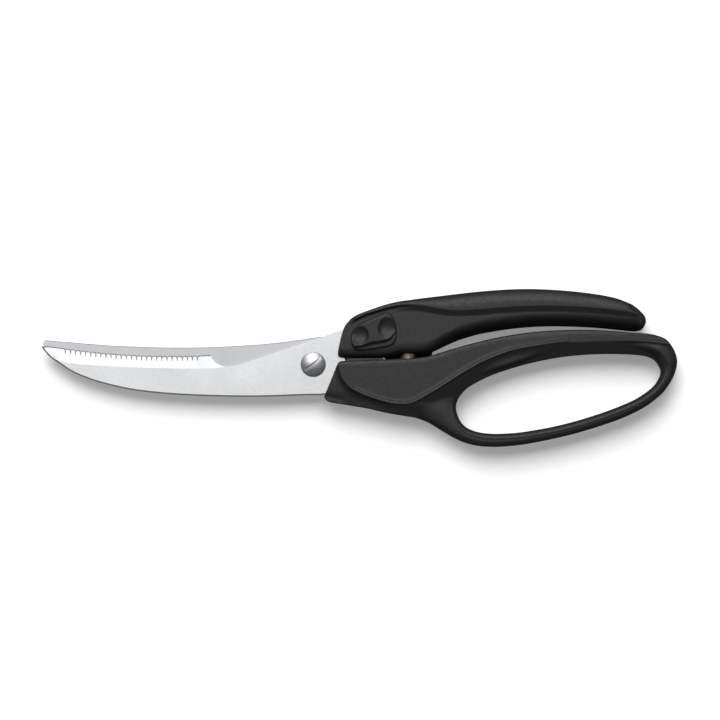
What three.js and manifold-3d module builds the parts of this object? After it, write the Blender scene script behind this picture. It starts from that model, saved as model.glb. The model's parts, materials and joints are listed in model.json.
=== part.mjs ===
// Poultry shears lying flat and closed, in millimetres. The blade tips point to -X, the handles to
// +X, and +Z is up. Every outline is drawn round the pivot at (0, 0), with z = 0 midway between the
// two blades. The finished group is moved so that its origin is the middle of the underside's box.
//
// Three bodies move: the rear blade with the loop handle, the front blade with the straight
// handle, which turns about the pivot, and the thumb lock, which slides in the straight handle.
import * as THREE from "three";
import { mergeVertices } from "three/addons/utils/BufferGeometryUtils.js";
import Module from "manifold-3d";

const wasm = await Module();
wasm.setup();

// Heights above the plane between the blades.
const HANDLE_HALF = 7.5; // half the thickness of both handles
const BLADE_IN = 0.1; // mating face of each blade
const BLADE_OUT = 2.9; // outer face of each blade
const EDGE_OUT = 0.6; // outer face at a cutting edge, after grinding
const PANEL = 6.3; // recessed thumb panel on the straight handle
const RUN = 0.35; // room round a blade's round heel where it swings inside a handle
const FIT = 0.15; // room round a tang in its handle
const HANDLE_ROUND = 1.6; // rounding of the handles' rims

// The pivot.
const SHANK_R = 2.5;
const SHANK_END = -4.9;
const BLADE_HOLE_R = 2.6;
const HEAD_R = 5;
const HEAD_TOP = 4.8;
const SLOT_WIDTH = 1.2;
const SLOT_DEPTH = 1;
const SLOT_TURN = THREE.MathUtils.degToRad(38.5);

// Blades. Each heel is round about the pivot, so that it can turn inside the other handle.
const FRONT_HEEL_R = 12.5;
const REAR_HEEL_R = 11.9;
const EDGE_MID = [-56, 3.3]; // lowest point of the front blade's hollow cutting edge
const EDGE_BEND = 0.00173; // edge height = lowest + bend * distance squared
const GROOVES = 27;
const GROOVE_FIRST = -45.4;
const GROOVE_PITCH = 2;
const GROOVE_DEPTH = 1.6;
const GROOVE_HALF = 0.25;
const GROOVE_LEAN = 0.3;

// The thumb lock slides along a line that rises from left to right.
const LOCK_AT = [23.8, 12.7];
const LOCK_TURN = THREE.MathUtils.degToRad(17);
const LOCK_TRAVEL = 4;
const STEM_R = 1.6;
const STEM_SLOT_R = 1.85;
const RIVET_R = 0.8;
const BOLT = [-2.8, -0.3]; // lowest and highest z of the steel bolt
const LOCK_POCKET_LOW = -4.3;
const PAD_OVER = [0.2, 2.6]; // lowest and highest part of the thumb pad above the panel
const SCOOP = { r: 6, z: 13.6 }; // the spheres that hollow the thumb pad
const SCOOPS_AT = [[19, 11], [28.7, 14.2]];

// The opening spring, a strip wound into two cones, stands across the gap between the handles.
const SPRING_X = 37.2;
const SPRING_ENDS = [-2, 8.4];
const SPRING_POCKET = { r: 3.8, low: -2.5, high: 8.9 };
const STRIP = { thick: 0.45, wide: 2.6, inner: 1.3, outer: 3.1, turns: 2.4, steps: 40 };

const COLOURS = {
  steel: { color: 0xc9ccd0, roughness: 0.32, metalness: 1 },
  polished: { color: 0xd8dadc, roughness: 0.15, metalness: 1 },
  bronze: { color: 0xb49a84, roughness: 0.35, metalness: 1 },
  polyamide: { color: 0x232425, roughness: 0.55, metalness: 0 },
};

const vectors = (points) => points.map(([x, y]) => new THREE.Vector2(x, y));

// Adds a smooth curve through points, or straight lines between them, to a shape or path.
const curve = (shape, ...points) => shape.splineThru(vectors(points));
const lines = (shape, ...points) => points.forEach(([x, y]) => shape.lineTo(x, y));

function polygon(...points) {
  return new THREE.Shape(vectors(points));
}

function disc(radius) {
  return new THREE.Shape().absarc(0, 0, radius, 0, 2 * Math.PI, false);
}

// A plate of one outline between two heights. round softens its rims inside the outline, and grow
// pushes the outline outwards, which makes the pocket that such a plate fits in.
function plate(shape, low, high, { round = 0, grow = 0, curveSegments = 3 } = {}) {
  const bevelEnabled = round > 0 || grow > 0;
  const lip = bevelEnabled ? round || 0.05 : 0;
  const geometry = new THREE.ExtrudeGeometry(shape, {
    depth: high - low - 2 * lip,
    bevelEnabled,
    bevelThickness: lip,
    bevelSize: round,
    bevelOffset: grow - round,
    bevelSegments: round > 0 ? 3 : 1,
    curveSegments,
  });
  return geometry.translate(0, 0, low + lip);
}

function solid(geometry) {
  const flat = geometry.index ? geometry.toNonIndexed() : geometry;
  const bare = new THREE.BufferGeometry().setAttribute("position", flat.getAttribute("position"));
  const merged = mergeVertices(bare, 1e-4);
  const vertProperties = merged.attributes.position.array;
  const triVerts = Uint32Array.from(merged.index.array);
  return new wasm.Manifold(new wasm.Mesh({ numProp: 3, vertProperties, triVerts }));
}

const join = (...geometries) => geometries.map(solid).reduce((all, next) => all.add(next));
const cut = (body, ...geometries) => geometries.map(solid).reduce((all, next) => all.subtract(next), body);

function mesh(name, shape, finish) {
  let geometry = shape;
  if (!shape.isBufferGeometry) {
    const { vertProperties, triVerts } = shape.getMesh();
    geometry = new THREE.BufferGeometry()
      .setAttribute("position", new THREE.BufferAttribute(vertProperties, 3))
      .setIndex(new THREE.BufferAttribute(triVerts, 1));
  }
  geometry.computeVertexNormals();
  const made = new THREE.Mesh(geometry, new THREE.MeshStandardMaterial(COLOURS[finish]));
  made.name = name;
  return made;
}

// A round pin or ring on the Z axis, from a profile of [radius, height] points.
function turned(profile, segments = 40) {
  return new THREE.LatheGeometry(vectors(profile), segments).rotateX(Math.PI / 2);
}

// The slot that the thumb lock's stem slides in, as a plate with round ends.
function slot(low, high) {
  const shape = new THREE.Shape();
  shape.absarc(LOCK_TRAVEL, 0, STEM_SLOT_R, -Math.PI / 2, Math.PI / 2, false);
  shape.absarc(0, 0, STEM_SLOT_R, Math.PI / 2, (3 * Math.PI) / 2, false);
  return plate(shape, low, high, { curveSegments: 8 }).rotateZ(LOCK_TURN).translate(...LOCK_AT, 0);
}

// ---------------------------------------------------------------------------------- blades

const edgeY = (x) => EDGE_MID[1] + EDGE_BEND * (x - EDGE_MID[0]) ** 2;

// The front blade: spine below, serrated hollow edge and bone notch above.
function frontBladeShape() {
  const shape = new THREE.Shape().moveTo(-106.9, 6.9);
  curve(shape, [-104, 3.6], [-99.7, 0.4], [-92, -4.3], [-84, -7.1], [-72, -10], [-56, -11.8], [-38, -12.6],
    [-20, -12.7], [-2.7, -12.2]);
  shape.absarc(0, 0, FRONT_HEEL_R, Math.atan2(-12.2, -2.7), Math.PI / 4, false);
  curve(shape, [2.6, 10.5], [-5.2, 8.1], [-21, 2.7], [-28, 0.2], [-33.6, -0.8], [-37.5, 0.3],
    [-40.7, edgeY(-40.7)]);
  for (let i = 0; i < GROOVES; i++) {
    const x = GROOVE_FIRST - i * GROOVE_PITCH;
    const foot = x - GROOVE_LEAN;
    lines(shape, [x + GROOVE_HALF, edgeY(x)], [foot, edgeY(x) - GROOVE_DEPTH], [x - GROOVE_HALF, edgeY(x)]);
  }
  lines(shape, [-102, edgeY(-102)], [-106.4, 7.5]);
  return shape;
}

function frontTangShape() {
  const shape = new THREE.Shape().moveTo(2, 4);
  lines(shape, [30, 4], [31.8, 6], [31.8, 11], [34, 12.8], [44, 12.8]);
  curve(shape, [60, 16], [84, 19.4], [112, 19]);
  lines(shape, [112, 23.5]);
  curve(shape, [84, 25.2], [60, 22.6], [38, 20.2], [22, 16.8], [11, 13.6]);
  lines(shape, [2, 10]);
  return shape;
}

// The rear blade: plain hollow edge below, hidden behind the front blade, and its spine above.
function rearBladeShape() {
  const shape = new THREE.Shape().moveTo(-106.5, 7.4);
  curve(shape, [-99, 4.6], [-88, 2.2], [-72, 0.3], [-56, -0.8], [-42, -2.2], [-30, -4.6], [-18, -8.4],
    [-6, -11.2],
    [6, -11.4]);
  lines(shape, [6, 2]);
  shape.absarc(0, 0, REAR_HEEL_R, 0.19, 1.2, false);
  curve(shape, [-4, 10], [-17, 8.4], [-33, 7.3], [-52, 6.75], [-72, 7.1], [-90, 8.3], [-106.4, 9.6]);
  return shape;
}

// Its tang carries the hooked lug that the thumb lock catches.
function rearTangShape() {
  const shape = new THREE.Shape().moveTo(0, 2.3);
  lines(shape, [0, -11.3]);
  curve(shape, [10, -11.9], [22, -13], [34, -14.5], [44, -14]);
  curve(shape, [52, -9.5], [62, -4], [78, 2.4], [98, 6]);
  lines(shape, [98, 10]);
  curve(shape, [78, 7], [62, 0.8], [52, -3.6], [44, -7.2]);
  lines(shape, [32.4, -7.2], [31.8, -6], [31.8, 1], [30.5, 2.3], [27.2, 2.3], [27.2, 9.6], [21.4, 9.6],
    [21.4, 7.9],
    [24.6, 7.9], [24.6, 2.3]);
  return shape;
}

// Grinds a bevel: everything beyond a surface that runs from the line "inner" at the blade's outer
// face down to "outer", just past the edge. side is 1 for the front blade and -1 for the rear one.
function bevel(inner, outer, side) {
  const shape = polygon(...inner, ...[...outer].reverse());
  const geometry = new THREE.ExtrudeGeometry(shape, { depth: 1, bevelEnabled: false });
  const position = geometry.getAttribute("position");
  const isOuter = (x, y) => outer.some(([a, b]) => Math.hypot(a - x, b - y) < 1e-3);
  for (let i = 0; i < position.count; i++) {
    const onSurface = position.getZ(i) < 0.5 === side > 0;
    const surface = isOuter(position.getX(i), position.getY(i)) ? EDGE_OUT : BLADE_OUT;
    position.setZ(i, side * (onSurface ? surface : BLADE_OUT + 3));
  }
  return geometry;
}

function frontBlade() {
  const body = join(...[frontBladeShape(), frontTangShape()].map((shape) => plate(shape, BLADE_IN, BLADE_OUT)));
  const inner = [[-109, 5.4], [-103.7, 3], [-99.7, 1.4], [-92, 0.3], [-80, -0.7], [-62, -1.4],
    [-44, -1.6], [-30, -1.6]];
  const outer = inner.map(([x, y], i) => [x, Math.max(edgeY(x), y + 2) + (i < 2 ? 0.5 : 0.1)]);
  const hole = turned([[0, -1], [BLADE_HOLE_R, -1], [BLADE_HOLE_R, 5], [0, 5]]);
  const stemSlot = slot(-1, 5);
  return mesh("front_blade", cut(body, bevel(inner, outer, 1), hole, stemSlot), "steel");
}

function rearBlade() {
  const body = join(...[rearBladeShape(), rearTangShape()].map((shape) => plate(shape, -BLADE_OUT, -BLADE_IN)));
  const inner = [[-108, 9.3], [-99, 8], [-88, 6.2], [-72, 4.6], [-56, 3.5], [-42, 2.2], [-30, 0],
    [-18, -4], [-9, -9.4]];
  const outer = [[-108, 7.4], [-99, 4.4], [-88, 2], [-72, 0.1], [-56, -1], [-42, -2.4], [-30, -4.9],
    [-18, -8.7], [-9, -11.2]];
  const hole = turned([[0, -5], [BLADE_HOLE_R, -5], [BLADE_HOLE_R, 1], [0, 1]]);
  return mesh("rear_blade", cut(body, bevel(inner, outer, -1), hole), "steel");
}

// --------------------------------------------------------------------------------- handles

function straightHandleShape() {
  const shape = new THREE.Shape().moveTo(9.8, 2.9);
  lines(shape, [29, 2.9], [33.5, 3.9]);
  curve(shape, [40, 4], [45, 4.2], [49.5, 6.1], [57, 9.4], [66.4, 12.1], [78, 14.1], [92, 15], [106, 14.8],
    [118.4, 13.8], [126.5, 13.1]);
  curve(shape, [129.6, 14.3], [130.8, 17.3], [129.4, 20.4], [125.5, 23.7]);
  curve(shape, [118.4, 26.4], [106.6, 28.3], [92.4, 29.5], [80, 29.7], [66.4, 28.8], [52.2, 27.2],
    [38, 25.4],
    [26, 22.7], [16.8, 19.2]);
  curve(shape, [13.2, 16.4], [11.2, 12.3], [10, 7.3]);
  return shape;
}

// The thumb panel is a step lower than the grip's back.
function panelShape() {
  const shape = new THREE.Shape().moveTo(5, 0);
  lines(shape, [140, 0], [140, 19]);
  curve(shape, [124.7, 20.7], [97, 22.9], [73.5, 22.3], [53.8, 21.1], [38, 23.3], [26, 21.2], [15, 16.5]);
  lines(shape, [5, 9]);
  return shape;
}

// Holds the lock's bolt, its detent strip and the lug, which comes in through the open underside.
function lockPocketShape() {
  return polygon([13.8, 3.9], [21, 3.9], [21, 2], [29.4, 2], [29.4, 9], [31.2, 10.5], [31.2, 19.5],
    [13.8, 14.3]);
}

function springPocket() {
  const { r, low, high } = SPRING_POCKET;
  return new THREE.CylinderGeometry(r, r, high - low, 32).translate(SPRING_X, (low + high) / 2, 0);
}

function straightHandle() {
  const body = solid(plate(straightHandleShape(), -HANDLE_HALF, HANDLE_HALF, { round: HANDLE_ROUND }));
  const carved = cut(
    body,
    plate(panelShape(), PANEL, HANDLE_HALF + 1),
    plate(frontTangShape(), BLADE_IN - FIT, BLADE_OUT + FIT, { grow: FIT }),
    plate(disc(FRONT_HEEL_R + FIT), BLADE_IN - FIT, BLADE_OUT + FIT, { curveSegments: 32 }),
    plate(disc(REAR_HEEL_R + RUN), -BLADE_OUT - RUN, BLADE_IN, { curveSegments: 32 }),
    plate(lockPocketShape(), LOCK_POCKET_LOW, BLADE_IN),
    slot(1, HANDLE_HALF + 1),
    springPocket(),
  );
  return mesh("straight_handle", carved, "polyamide");
}

function loopHandleShape() {
  const shape = new THREE.Shape().moveTo(10.2, 1.4);
  lines(shape, [28, 2]);
  curve(shape, [38, 2.4], [43, 2.8], [47.5, 3.8], [54.6, 6.1], [64.1, 8.7], [73.5, 10.8], [83, 12.3],
    [97, 13.3],
    [111, 13.2], [125, 12.2]);
  curve(shape, [134.9, 11.2], [139.6, 9], [142.3, 4.9], [143.1, 0.8], [142, -4], [137.3, -11.2],
    [130.2, -16.8],
    [116, -23.1], [101.9, -27.5], [87.7, -30.6], [77, -32.1], [69, -32.4], [62, -31.5], [54.6, -28.5],
    [46, -23.3],
    [40.4, -21.1]);
  curve(shape, [31, -19.4], [19, -17], [8.5, -15.2]);
  lines(shape, [4.7, -14.2], [5.1, -11], [7.4, -4.8]);
  const hole = new THREE.Path().moveTo(56.2, -17.2);
  curve(hole, [57, -21], [60, -24.6], [66.4, -26.9], [75, -27.2], [87.7, -25.7], [101.9, -22.6],
    [116, -18.2],
    [127, -13.4], [134, -8.3], [136.7, -2.9], [134, 1.8], [128, 3.6], [118, 4.1], [104, 3.5], [90, 1.5],
    [75.9, -2.3],
    [66.4, -6.1], [60, -9.9], [57, -13.7], [56.2, -17.2]);
  shape.holes.push(hole);
  return shape;
}

function loopHandle() {
  const body = solid(plate(loopHandleShape(), -HANDLE_HALF, HANDLE_HALF, { round: HANDLE_ROUND }));
  const carved = cut(
    body,
    plate(rearTangShape(), -BLADE_OUT - FIT, -BLADE_IN + FIT, { grow: FIT }),
    plate(disc(REAR_HEEL_R + FIT), -BLADE_OUT - FIT, -BLADE_IN + FIT, { curveSegments: 32 }),
    plate(disc(FRONT_HEEL_R + RUN), -BLADE_IN, BLADE_OUT + RUN, { curveSegments: 32 }),
    springPocket(),
  );
  return mesh("loop_handle", carved, "polyamide");
}

// ----------------------------------------------------------------------------------- pivot

function pivotScrew() {
  const dome = [[HEAD_R, 3], [HEAD_R, 3.5], [4.6, 4], [3.6, 4.45], [2.2, 4.72], [0, HEAD_TOP]];
  const body = turned([[0, SHANK_END], [SHANK_R, SHANK_END], [SHANK_R, 3], ...dome]);
  const slotBox = new THREE.BoxGeometry(3 * HEAD_R, SLOT_WIDTH, 2 * SLOT_DEPTH).rotateZ(SLOT_TURN);
  return mesh("pivot_screw", cut(solid(body), slotBox.translate(0, 0, HEAD_TOP)), "polished");
}

function ring(name, profile, finish) {
  return mesh(name, turned([...profile, profile[0]]), finish);
}

// ------------------------------------------------------------------------------------ lock

// The thumb piece: a scooped pad above the panel and a round stem that reaches the bolt.
function lockSlider() {
  const pad = new THREE.Shape().moveTo(15.4, 7.2);
  curve(pad, [17.2, 5.5], [26.2, 6.3], [30.6, 7.5], [32.2, 9.3], [32.7, 12.3], [32.2, 15.6], [31, 18.4],
    [28.6, 19.9],
    [23.9, 18.3], [18.4, 15.9], [15.9, 13.7], [14.8, 10.7], [15.4, 7.2]);
  const [x, y] = LOCK_AT;
  const stem = new THREE.CylinderGeometry(STEM_R, STEM_R, 7, 24).rotateX(Math.PI / 2).translate(x, y, 3.6);
  const bore = new THREE.CylinderGeometry(RIVET_R + 0.15, RIVET_R + 0.15, 6, 20).rotateX(Math.PI / 2);
  const scoops = SCOOPS_AT.map((at) => new THREE.SphereGeometry(SCOOP.r, 24, 16).translate(...at, SCOOP.z));
  return mesh(
    "lock_slider",
    cut(
      join(plate(pad, PANEL + PAD_OVER[0], PANEL + PAD_OVER[1], { round: 0.5 }), stem),
      bore.translate(x, y, 2.5),
      ...scoops,
    ),
    "polyamide",
  );
}

// The bolt is a flat hook. Pushed along by the thumb piece, its finger slides in under the lug.
function lockBolt() {
  const hook = polygon([20.4, 4.3], [20.4, 6.1], [17.2, 6.1], [17.2, 9.9], [22, 10.4], [26.4, 10.6],
    [27, 12.8],
    [26.2, 15], [24, 15.5], [14.4, 12.4], [14.4, 4.3]);
  const hole = new THREE.CylinderGeometry(RIVET_R + 0.1, RIVET_R + 0.1, 9, 20).rotateX(Math.PI / 2);
  return mesh("lock_bolt", cut(solid(plate(hook, ...BOLT)), hole.translate(...LOCK_AT, 0)), "steel");
}

function lockRivet() {
  const head = 1.7;
  const rivet = turned([[0, -3.9], [head, -3.9], [head, -3], [RIVET_R, -3], [RIVET_R, 5.2], [0, 5.2]], 20);
  return mesh("lock_rivet", rivet.translate(...LOCK_AT, 0), "steel");
}

// A spring strip above the bolt, with a bump that clicks at each end of the lock's travel.
function lockDetent() {
  const strip = polygon([-6, 3.5], [-1.4, 3.5], [0, 3.1], [1.4, 3.5], [6, 3.5], [6, 3.85], [1.2, 3.85],
    [0, 3.45],
    [-1.2, 3.85], [-6, 3.85]);
  const geometry = plate(strip, ...BOLT).rotateZ(LOCK_TURN).translate(...LOCK_AT, 0);
  return mesh("lock_detent_strip", geometry, "steel");
}

// ---------------------------------------------------------------------------------- spring

// Half of the spring, from its small end to its wide middle: a strip rolled into a flat spiral,
// whose turns are then drawn out along the axis so that they stand inside each other.
function springHalf() {
  const { thick, wide, inner, outer, turns, steps } = STRIP;
  const reach = (SPRING_ENDS[1] - SPRING_ENDS[0] - wide) / 2;
  const sides = [[], []];
  const lifts = new Map();
  const key = (x, y) => `${x.toFixed(3)} ${y.toFixed(3)}`;
  for (let i = 0; i <= steps; i++) {
    const share = (1.01 * i) / steps; // the last step runs on into the other half
    const angle = 2 * Math.PI * turns * (share - 1);
    const middle = inner + (outer - inner) * share;
    [middle + thick / 2, middle - thick / 2].forEach((radius, side) => {
      const point = [radius * Math.cos(angle), radius * Math.sin(angle)];
      sides[side].push(point);
      lifts.set(key(...point), reach * (share - 1));
    });
  }
  const shape = polygon(...sides[0], ...sides[1].reverse());
  const geometry = new THREE.ExtrudeGeometry(shape, { depth: wide, bevelEnabled: false });
  const position = geometry.getAttribute("position");
  for (let i = 0; i < position.count; i++) {
    const lift = lifts.get(key(position.getX(i), position.getY(i)));
    position.setZ(i, position.getZ(i) - wide / 2 + lift);
  }
  return geometry;
}

function openingSpring() {
  const strip = join(springHalf(), springHalf().rotateX(Math.PI));
  const spring = mesh("opening_spring", strip, "bronze");
  spring.rotation.x = -Math.PI / 2;
  spring.position.set(SPRING_X, (SPRING_ENDS[0] + SPRING_ENDS[1]) / 2, 0);
  return spring;
}

// -------------------------------------------------------------------------------- assembly

function group(...members) {
  const made = new THREE.Group();
  made.add(...members);
  return made;
}

const washer = [[2.7, -3.4], [4.4, -3.4], [4.4, -3], [2.7, -3]];
const nut = [[BLADE_HOLE_R, -5.2], [3.4, -5.2], [4.4, -4.9], [HEAD_R, -4.3], [HEAD_R, -3.5],
  [BLADE_HOLE_R, -3.5]];

const shears = group(
  group(
    rearBlade(),
    loopHandle(),
    pivotScrew(),
    ring("pivot_washer", washer, "steel"),
    ring("pivot_nut", nut, "polished"),
    openingSpring(),
  ),
  group(frontBlade(), straightHandle(), lockDetent()),
  group(lockSlider(), lockBolt(), lockRivet()),
);

const size = new THREE.Box3().setFromObject(shears, true);
const middle = size.getCenter(new THREE.Vector3());
shears.position.set(-middle.x, -middle.y, -size.min.z);

export default shears;
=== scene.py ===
"""Poultry shears: the finished look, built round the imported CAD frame.

Outlines are in millimetres round the pivot, as the design draws them: x to the handles, y to the
straight handle, z up from the plane between the blades. place() carries them into the row frame.
"""

import json
import math

import bmesh
import bpy
import numpy as np
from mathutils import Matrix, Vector, kdtree
from mathutils.geometry import delaunay_2d_cdt


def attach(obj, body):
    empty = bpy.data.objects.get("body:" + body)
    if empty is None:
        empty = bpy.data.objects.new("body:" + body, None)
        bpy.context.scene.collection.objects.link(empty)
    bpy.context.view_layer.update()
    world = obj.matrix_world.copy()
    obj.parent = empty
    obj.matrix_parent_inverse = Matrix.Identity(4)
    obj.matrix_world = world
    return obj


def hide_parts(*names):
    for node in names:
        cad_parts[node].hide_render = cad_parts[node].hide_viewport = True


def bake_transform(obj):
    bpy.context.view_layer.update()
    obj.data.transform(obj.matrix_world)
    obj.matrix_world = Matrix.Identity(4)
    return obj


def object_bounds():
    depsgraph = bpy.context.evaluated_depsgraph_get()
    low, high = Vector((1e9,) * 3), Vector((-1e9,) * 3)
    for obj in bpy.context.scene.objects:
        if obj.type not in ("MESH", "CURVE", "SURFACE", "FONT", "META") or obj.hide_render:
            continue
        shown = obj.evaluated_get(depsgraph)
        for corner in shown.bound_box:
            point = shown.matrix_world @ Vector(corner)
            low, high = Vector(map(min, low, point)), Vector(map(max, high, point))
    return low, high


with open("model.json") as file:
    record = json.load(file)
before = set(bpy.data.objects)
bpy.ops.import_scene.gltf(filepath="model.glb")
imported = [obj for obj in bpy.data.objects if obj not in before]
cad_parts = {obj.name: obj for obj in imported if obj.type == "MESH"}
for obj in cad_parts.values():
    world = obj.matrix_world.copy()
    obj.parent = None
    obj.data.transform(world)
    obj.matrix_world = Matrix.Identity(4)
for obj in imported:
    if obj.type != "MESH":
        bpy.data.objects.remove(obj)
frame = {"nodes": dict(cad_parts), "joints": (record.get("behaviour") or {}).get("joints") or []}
cad_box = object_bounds()

JOINTS = {joint["name"]: joint for joint in frame["joints"]}
PIVOT = np.array(JOINTS["blade_pivot"]["pos_m"])
MM = 0.001

# Heights from the plane between the blades. The rear half's are the same, downwards.
HALF = 7.5  # half the thickness of the handles
PANEL = 6.3  # recessed panel of the straight handle
BLADE_IN = 0.1  # the blades' inner faces
BLADE_OUT = 2.9  # their outer faces, at the pivot

# Sizes and places in the plane of the blades.
BORE_R = 2.6  # pivot bore
FRONT_HEEL_R = 12.55
REAR_HEEL_R = 11.9
FRONT_ROOM_R = 13.2  # space in the handles for the front blade's heel, before clearance
SPRING_X = 37.2
SPRING_ENDS = (-2.0, 8.4)  # in y
LOCK_AT = (23.8, 12.7)  # the thumb lock's centre at rest
LOCK_TURN = math.radians(17)
LOCK_TRAVEL = 4.0

CHUNK = 4000  # points tested at a time, to save memory


def place(points):
    """Millimetres round the pivot to metres in the row frame."""
    return np.asarray(points, float) * MM + PIVOT


# ------------------------------------------------------------------------------ plane shapes


def smooth(points, step=0.6, closed=False):
    """A smooth curve through points, as a row of points about step apart."""
    p = np.asarray(points, float)
    n = len(p)
    rows = []
    for i in range(n if closed else n - 1):
        around = [(i + k) % n if closed else min(max(i + k, 0), n - 1) for k in (-1, 0, 1, 2)]
        a, b, c, d = p[around]
        count = max(1, round(np.linalg.norm(c - b) / step))
        t = np.arange(count)[:, None] / count
        pull_in, pull_out = (c - a) / 2, (d - b) / 2
        rows.append(
            b + pull_in * t + (3 * (c - b) - 2 * pull_in - pull_out) * t**2
            + (2 * (b - c) + pull_in + pull_out) * t**3
        )
    if not closed:
        rows.append(p[-1:])
    return np.vstack(rows)


def arc(radius, start, end, centre=(0, 0), step=0.5):
    """Part of a circle between two angles, as a row of points about step apart."""
    count = max(2, round(abs(end - start) * radius / step))
    angle = np.linspace(start, end, count + 1)
    return np.column_stack([np.cos(angle), np.sin(angle)]) * radius + centre


def circle(radius, centre=(0, 0), step=0.5):
    return arc(radius, 0, 2 * math.pi, centre, step)[:-1]


def chain(*strokes):
    """Strokes that follow each other, as one closed loop without repeated points."""
    loop = np.vstack(strokes)
    apart = np.linalg.norm(loop - np.roll(loop, 1, axis=0), axis=1) > 1e-4
    return loop[apart]


def turned_to(loop, anticlockwise):
    """A closed loop in the direction asked for."""
    x, y = loop[:, 0], loop[:, 1]
    area = np.sum(x * np.roll(y, -1) - y * np.roll(x, -1))
    return loop if (area > 0) == anticlockwise else loop[::-1]


def gap_to(points, line, closed=False):
    """Distance from each point to a line of points."""
    a = line
    b = np.roll(line, -1, axis=0)
    if not closed:
        a, b = a[:-1], b[:-1]
    along = b - a
    length = np.maximum(np.sum(along**2, axis=1), 1e-12)
    nearest = np.empty(len(points))
    for first in range(0, len(points), CHUNK):
        p = points[first : first + CHUNK, None, :]
        t = np.clip(np.sum((p - a) * along, axis=2) / length, 0, 1)
        apart = np.linalg.norm(p - a - along * t[..., None], axis=2)
        nearest[first : first + CHUNK] = np.min(apart, axis=1)
    return nearest


def is_inside(points, loops):
    """Even-odd test against several closed loops."""
    odd = np.zeros(len(points), bool)
    for loop in loops:
        (ax, ay), (bx, by) = loop.T, np.roll(loop, -1, axis=0).T
        rise = np.where(by == ay, 1e-12, by - ay)
        for first in range(0, len(points), CHUNK):
            x, y = points[first : first + CHUNK].T[:, :, None]
            crossing = ((ay > y) != (by > y)) & (x < (bx - ax) * (y - ay) / rise + ax)
            odd[first : first + CHUNK] ^= np.sum(crossing, axis=1) % 2 == 1
    return odd


def gap_to_all(points, loops):
    """Distance from each point to the nearest of several closed loops."""
    return np.min([gap_to(points, loop, closed=True) for loop in loops], axis=0)


def beside(line, distance):
    """A line moved sideways, to the right of its direction."""
    along = np.gradient(line, axis=0)
    along /= np.linalg.norm(along, axis=1)[:, None]
    return line + np.column_stack([along[:, 1], -along[:, 0]]) * distance


def inset(loop, distance):
    """A closed loop moved into the solid: an anticlockwise outline shrinks, a clockwise hole grows."""
    along = np.roll(loop, -1, axis=0) - np.roll(loop, 1, axis=0)
    along /= np.linalg.norm(along, axis=1)[:, None]
    return loop + np.column_stack([-along[:, 1], along[:, 0]]) * distance


def signed_gap(points, loop):
    """Distance to a closed loop, positive inside it."""
    gap = gap_to(points, loop, closed=True)
    return np.where(is_inside(points, [loop]), gap, -gap)


def ramp(x, low, high):
    """0 below low, 1 above high, and a smooth rise between them."""
    t = np.clip((np.asarray(x, float) - low) / (high - low), 0, 1)
    return t * t * (3 - 2 * t)


def lowest(a, b, blend=0.4):
    """The lower of two heights, with a fillet of about blend where they meet."""
    h = np.clip(0.5 + 0.5 * (b - a) / blend, 0, 1)
    return b + (a - b) * h - blend * h * (1 - h)


def round_rim(gap, width, height, power=2.0):
    """Height over a rim that rises from 0 at the outline to height, width further in."""
    t = np.clip(gap / width, 0, 1)
    return height * (1 - (1 - t) ** power) ** (1 / power)


# ------------------------------------------------------------------------------------ meshes


def link(made):
    bpy.context.scene.collection.objects.link(made)
    return made


def new_mesh(name, vertices, faces, sharp=35):
    """A smooth-shaded mesh object, with hard edges where faces meet at more than sharp degrees."""
    mesh = bpy.data.meshes.new(name)
    mesh.from_pydata([tuple(v) for v in place(vertices)], [], faces)
    made = link(bpy.data.objects.new(name, mesh))
    finish_shading(made, sharp)
    return made


def finish_shading(piece, sharp=35):
    """Outward normals, smooth faces, and hard edges over sharp degrees."""
    mesh = piece.data
    bm = bmesh.new()
    bm.from_mesh(mesh)
    bmesh.ops.recalc_face_normals(bm, faces=bm.faces)
    bm.to_mesh(mesh)
    bm.free()
    mesh.polygons.foreach_set("use_smooth", [True] * len(mesh.polygons))
    mesh.set_sharp_from_angle(angle=math.radians(sharp))
    mesh.update()


LINE_STEP = 0.12  # nearest that points of a crease line may come to others
ROW_STEP = 0.866  # between the rows of a grid of even triangles


class Cloud:
    """Points kept at least a given distance apart, in the order in which they come."""

    def __init__(self, outline):
        self.points = [tuple(p) for p in outline]
        self.build_tree()

    def build_tree(self):
        self.tree = kdtree.KDTree(len(self.points))
        for i, (x, y) in enumerate(self.points):
            self.tree.insert((x, y, 0), i)
        self.tree.balance()

    def add(self, points, apart):
        """Adds the points that keep their distance, and returns each one's number, or -1."""
        numbers = []
        grid = {}  # the points of this call, which the tree doesn't have yet
        for x, y in points:
            column, row = math.floor(x / apart), math.floor(y / apart)
            around = [(column + i, row + j) for i in (-1, 0, 1) for j in (-1, 0, 1)]
            near = (p for cell in around for p in grid.get(cell, ()))
            clear = all((x - a) ** 2 + (y - b) ** 2 >= apart**2 for a, b in near)
            if not clear or self.tree.find((x, y, 0))[2] < apart:
                numbers.append(-1)
                continue
            grid.setdefault((column, row), []).append((x, y))
            numbers.append(len(self.points))
            self.points.append((x, y))
        self.build_tree()
        return numbers


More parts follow.
